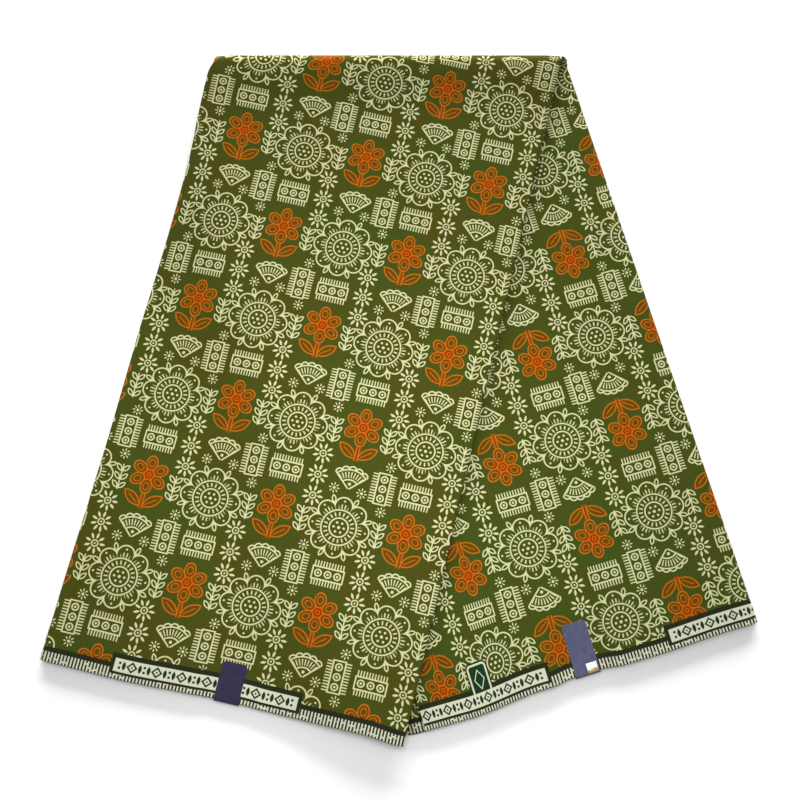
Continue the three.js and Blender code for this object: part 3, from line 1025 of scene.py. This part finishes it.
# %% Section of the hidden layers
HIDDEN_ROWS = (46, 14, 46)
HIDDEN_COLUMNS = np.array([-140, -115, -85, -55, -29, -9, 3, 15, 35, 60, 90, 118, 140]) * MM
HIDDEN_COTTON = 0.24 * MM  # a little thinner, so that the runs stay apart
HIDDEN_SHORT = 0.8 * MM  # how far their hems lie inside the faces' hems
HALF_TURN = np.radians([-70, 0, 70])
PLEAT_WAVE = 0.35 * MM  # each pleat's edge is a slow sine wave of its own rate and phase
WAVE_RATE, WAVE_RATE_STEP, WAVE_PHASE_STEP = 14, 3, 2.4
ROWS_REACH = 1.2  # metres along the rows, for these waves
LEAST_INSET, MOST_INSET, UNDER_LIP = -0.5, 1.7, 0.9  # mm
chooser = np.random.default_rng(7)
PLEAT_INSETS = chooser.uniform(LEAST_INSET, MOST_INSET, LAYERS - 1) * MM
PLEAT_INSETS[:4] += UNDER_LIP * MM
PLEAT_INSETS[-4:] += UNDER_LIP * MM


def zigzag():
    """Section of layers 2 to 17, from the innermost out: places across, heights and arc lengths."""
    t, n = [], []
    along = np.linspace(0, ROWS_REACH, sum(HIDDEN_ROWS))[:, None]
    for layer in range(1, LAYERS - 1):
        side = 1 if layer % 2 else -1
        height = (layer + 0.5) * PITCH - STACK / 2
        t.append(np.broadcast_to(side * HIDDEN_COLUMNS, (len(along), len(HIDDEN_COLUMNS))))
        n.append(np.full(len(HIDDEN_COLUMNS), height))
        if layer == LAYERS - 2:
            break
        rate = WAVE_RATE + WAVE_RATE_STEP * layer
        wave = PLEAT_WAVE * np.sin(along * rate + layer * WAVE_PHASE_STEP)
        inset = PLEAT_INSETS[layer] + wave
        edge = side * (STRIP / 2 - inset - PITCH / 2)
        t.append(edge + side * PITCH / 2 * np.cos(HALF_TURN))
        n.append(height + PITCH / 2 + PITCH / 2 * np.sin(HALF_TURN))
    t, n = np.concatenate(t, 1), np.concatenate(n)
    steps = np.hypot(np.diff(t[0]), np.diff(n))
    return t, n[None, :], np.concatenate([[0], np.cumsum(steps)])


hidden_t, hidden_n, hidden_u = zigzag()
print("the pleated layers are", round(float(hidden_u[-1] - hidden_u[0]), 2), "m of cloth")

# %% Hidden layers
points, uv_maps = carry(
    hidden_t,
    hidden_n,
    hidden_u + HIDDEN_START,
    HIDDEN_ROWS,
    shorts=(HIDDEN_SHORT, HIDDEN_SHORT),
)
hidden = grid_mesh("pleated_layers", points, uv_maps, COTTON_PRINT, HIDDEN_COTTON)
take_place(hidden, "hidden_layers")

# %% [markdown]
# ## The labels
#
# A label is a strip of coated paper, laid on the face, turned round the hem and tucked under it,
# with rounded upper corners. A box bent with a modifier would float or cut into the soft cloth. So
# the label is a grid of the stack's own surface, from the same map, moved out by a hair.

# %% Coated paper
PAPER_SPECULAR, PAPER_ROUGHNESS = 0.06, 0.45
PAPER_DARKER = 0.82  # the clouds' darkest, as a share of the colour


def coated_paper(name, colour):
    """An even colour with faint clouds, which also raise the paper a little, and a dull gloss."""
    material, tree, shader = new_material(name)
    place = tree.nodes.new("ShaderNodeTexCoord")
    cloudy = noise(tree, place.outputs["Object"], scale=240, detail=3, low=0.35, high=0.65)
    darker = tuple(PAPER_DARKER * c for c in colour[:3]) + (1.0,)
    tree.links.new(paint(tree, darker, colour, cloudy), shader.inputs["Base Color"])
    raise_by(tree, shader, cloudy, strength=0.2, distance=0.2 * MM)
    shader.inputs["Roughness"].default_value = PAPER_ROUGHNESS
    shader.inputs["Specular IOR Level"].default_value = PAPER_SPECULAR
    print(name, "has", len(tree.nodes), "nodes")
    return material


NAVY_PAPER = coated_paper("navy_paper", linear(46, 42, 68))
SLATE_PAPER = coated_paper("slate_paper", linear(82, 83, 108))

# %% A label's end and its turn round the hem
LABEL_WIDTH = 21 * MM
LABEL_ROUND = 3.2 * MM  # radius of its two corners on the face
LABEL_OUT = 0.12 * MM  # from the stack to the middle of the paper
HEM_OUT, HEM_BULGE = 0.5 * MM, 0.9 * MM  # how far it stands off the hem, and bulges there


def rounded_width(top):
    """Width of the label at each row on the face: at its end, less a circle's sagitta on each side."""
    from_end = np.clip(LABEL_ROUND - (top[0] - top), 0, None)
    cut = LABEL_ROUND - np.sqrt(np.maximum(LABEL_ROUND**2 - from_end**2, 0))
    return LABEL_WIDTH - 2 * cut


def round_hem(half, t, turn):
    """Points round the hem: from its middle out along the strip, and up or down by a half circle."""
    middle = half_point(half, t, np.zeros_like(t), np.zeros_like(t))
    reach = HEM_OUT + HEM_BULGE * np.sin(turn)[:, None]
    lean = half["lean"]
    away = np.array([half["side"] * math.sin(lean), -math.cos(lean), 0.0])
    rise = (STACK / 2 * (1 - NIP_DEPTH) + LABEL_OUT) * np.cos(turn)
    return middle + reach[..., None] * away + rise[:, None, None] * np.array([0.0, 0.0, 1.0])


print("a label's end is", round(float(rounded_width(np.zeros(1))[0]) * 1000, 1), "mm wide")

# %% Labels
LABEL_TUCK, LABEL_PAPER = 12 * MM, 0.25 * MM
LABEL_LOWEST = 0.15 * MM  # the tucked end stays that far above the floor
LABEL_RIM, LABEL_SIDE_RIM = 0.1 * MM, 0.005  # the second is a share of its width
TOP_ROWS, TURN_ROWS, UNDER_ROWS, LABEL_COLUMNS = 26, 9, 8, 13
LABEL_MAP_LONG = 70 * MM


def label(name, half, length_on_top, material, node):
    """A label as a grid, `length_on_top` along the strip by its width, wrapped round the hem."""
    top = edged(length_on_top, 0, TOP_ROWS, LABEL_RIM)
    turn = np.linspace(0, math.pi, TURN_ROWS)
    under = np.linspace(0, LABEL_TUCK, UNDER_ROWS)
    widths = np.concatenate([rounded_width(top), np.full(TURN_ROWS + UNDER_ROWS, LABEL_WIDTH)])
    across = edged(-0.5, 0.5, LABEL_COLUMNS, LABEL_SIDE_RIM)[None, :]
    t = half["label_at"] + across * widths[:, None]
    on_face, round_the_hem, tucked = np.split(t, [len(top), len(top) + TURN_ROWS])
    up = half["outward"]
    points = np.concatenate([
        half_point(half, on_face, top[:, None], up * STACK / 2, up * LABEL_OUT),
        round_hem(half, round_the_hem, turn),
        half_point(half, tucked, under[:, None], -up * STACK / 2, -up * LABEL_OUT),
    ])
    points[..., 2] = np.maximum(points[..., 2], LABEL_LOWEST)
    v = np.linspace(0, LABEL_MAP_LONG, len(t))[:, None]
    plain_uv = np.stack(np.broadcast_arrays(t, v), -1)
    piece = grid_mesh(name, points, dict(cloth=plain_uv), material, LABEL_PAPER)
    take_place(piece, node)
    return piece


label("dark_label", FRONT, 32 * MM, NAVY_PAPER, "front_label")
label("slate_label", BACK, 45 * MM, SLATE_PAPER, "back_label")

# %% [markdown]
# ## The seal
#
# On the back's label, at the hem, sits a small plain foil patch. It is one more grid of the same
# surface, a little further out, in a pale foil that turns golden towards the hem, with an uneven
# edge. A grid of its own was chosen over paint on the label, because foil shines and stands off.

# %% Seal
SEAL_LEFT, SEAL_RIGHT = 0.2 * MM, 9.2 * MM  # from the label's middle
SEAL_TOP, SEAL_FOOT = 8.0 * MM, 0.0 * MM  # from the hem
SEAL_OUT, SEAL_FOIL, SEAL_RIM = 0.4 * MM, 0.1 * MM, 0.08 * MM
SEAL_ROWS = 9
GOLD_LOW, GOLD_RATE, GOLD_UNEVEN = 1.2, 0.6, 3.0  # golden to that share, less per mm, over mm
FOIL, GOLD = linear(236, 236, 232), linear(168, 132, 62)


def foil():
    """Pale foil, golden below: the share of gold falls with the height, less some noise."""
    material, tree, shader = new_material("seal_foil")
    _, to_hem, place = uv_fields(tree, "cloth")
    uneven = noise(tree, place, scale=300, detail=2) * GOLD_UNEVEN
    gold = ((to_hem - uneven) * -GOLD_RATE).math("ADD", GOLD_LOW, clamp=True)
    tree.links.new(paint(tree, FOIL, GOLD, gold), shader.inputs["Base Color"])
    shader.inputs["Metallic"].default_value = 0.4
    shader.inputs["Roughness"].default_value = 0.28
    return material


def seal():
    """A small foil patch on the back's label, a grid of the label's own surface moved out."""
    across = edged(SEAL_LEFT, SEAL_RIGHT, SEAL_ROWS, SEAL_RIM)[None, :]
    to_hem = edged(SEAL_TOP, SEAL_FOOT, SEAL_ROWS, SEAL_RIM)[:, None]
    t, to_hem = np.broadcast_arrays(BACK["label_at"] + across, to_hem)
    points = half_point(BACK, t, to_hem, np.full(t.shape, -STACK / 2), -SEAL_OUT)
    piece = grid_mesh("foil_seal", points, dict(cloth=np.stack([t, to_hem], -1)), foil(), SEAL_FOIL)
    take_place(piece, "label_seal")
    return piece


seal()

# %% [markdown]
# ## Floor, light and camera
#
# The cloth lies on a pale floor, as in a product picture. The floor could be a curved backdrop, but
# seen from above a flat one is enough.

# %% Floor
FLOOR_HALF = 6.0


def pale_floor():
    """A wide white plane that isn't part of the object."""
    material, tree, shader = new_material("pale_floor")
    shader.inputs["Base Color"].default_value = (0.96, 0.96, 0.96, 1.0)
    shader.inputs["Roughness"].default_value = 0.9
    shader.inputs["Specular IOR Level"].default_value = 0.1
    signs = np.array([[[-1, -1, 0], [1, -1, 0]], [[-1, 1, 0], [1, 1, 0]]], dtype=float)
    floor = grid_mesh("floor", FLOOR_HALF * signs, {}, material)
    return floor


pale_floor()

# %% [markdown]
# Light makes the hems stand off the floor. A large low lamp behind the fold, like a window, throws
# a soft shadow in front of the hems and shows the relief of the pile. A small one overhead lightens
# that shadow, and the pale world fills in all sides. One big lamp overhead would be simpler, but it
# would hide the hems' edges.


# %% Light
def soft_light(name, place, target, width, depth, power, spread=180):
    """A rectangular lamp that faces a point, with its beam limited to an angle in degrees."""
    lamp = bpy.data.lights.new(name, "AREA")
    lamp.spread = math.radians(spread)
    lamp.shape, lamp.size, lamp.size_y, lamp.energy = "RECTANGLE", width, depth, power
    holder = bpy.data.objects.new(name, lamp)
    holder.location = place
    holder.rotation_euler = (Vector(target) - Vector(place)).to_track_quat("-Z", "Y").to_euler()
    holder.visible_camera = False
    bpy.context.collection.objects.link(holder)
    print(name, "lamp of", power, "W")


FILL = 0.58  # strength of the white world
soft_light(
    "window",
    place=(0.2, 3.6, 0.97),
    target=(0, 0, 0),
    width=3.6,
    depth=1.57,
    power=361,
)
soft_light(
    "overhead",
    place=(-0.03, -0.08, 0.7),
    target=(-0.03, -0.08, 0),
    width=0.3,
    depth=0.3,
    power=0.37,
    spread=58,
)
world = bpy.data.worlds.new("studio")
world.use_nodes = True
world.node_tree.nodes["Background"].inputs["Color"].default_value = (1.0, 1.0, 1.0, 1.0)
world.node_tree.nodes["Background"].inputs["Strength"].default_value = FILL
bpy.context.scene.world = world
bpy.context.scene.view_settings.view_transform = "Standard"

# %% [markdown]
# The camera stands over the near part of the cloth and looks down, tilted 13 degrees towards the
# fold. Its place is given from the middle of the fold's outline, so it follows the model's size.

# %% Camera
FOCAL_PX, IMAGE_PX = 1400.0, 800.0  # the view's focal length, in pixels of an 800 x 800 image
SENSOR = 36.0
CAMERA_FROM_FOLD = np.array([0.0092, -0.5905, 1.182])
CAMERA_TILT = math.radians(12.94)
camera_data = bpy.data.cameras.new("camera")
camera_data.sensor_width = SENSOR
camera_data.lens = FOCAL_PX / IMAGE_PX * SENSOR
camera_data.dof.use_dof = False
camera = bpy.data.objects.new("camera", camera_data)
camera.location = ORIGIN + CAMERA_FROM_FOLD
camera.rotation_euler = (CAMERA_TILT, 0.0, 0.0)
bpy.context.collection.objects.link(camera)
bpy.context.scene.camera = camera
print("camera at", np.round(camera.location, 3).tolist(), "with a lens of", camera_data.lens, "mm")
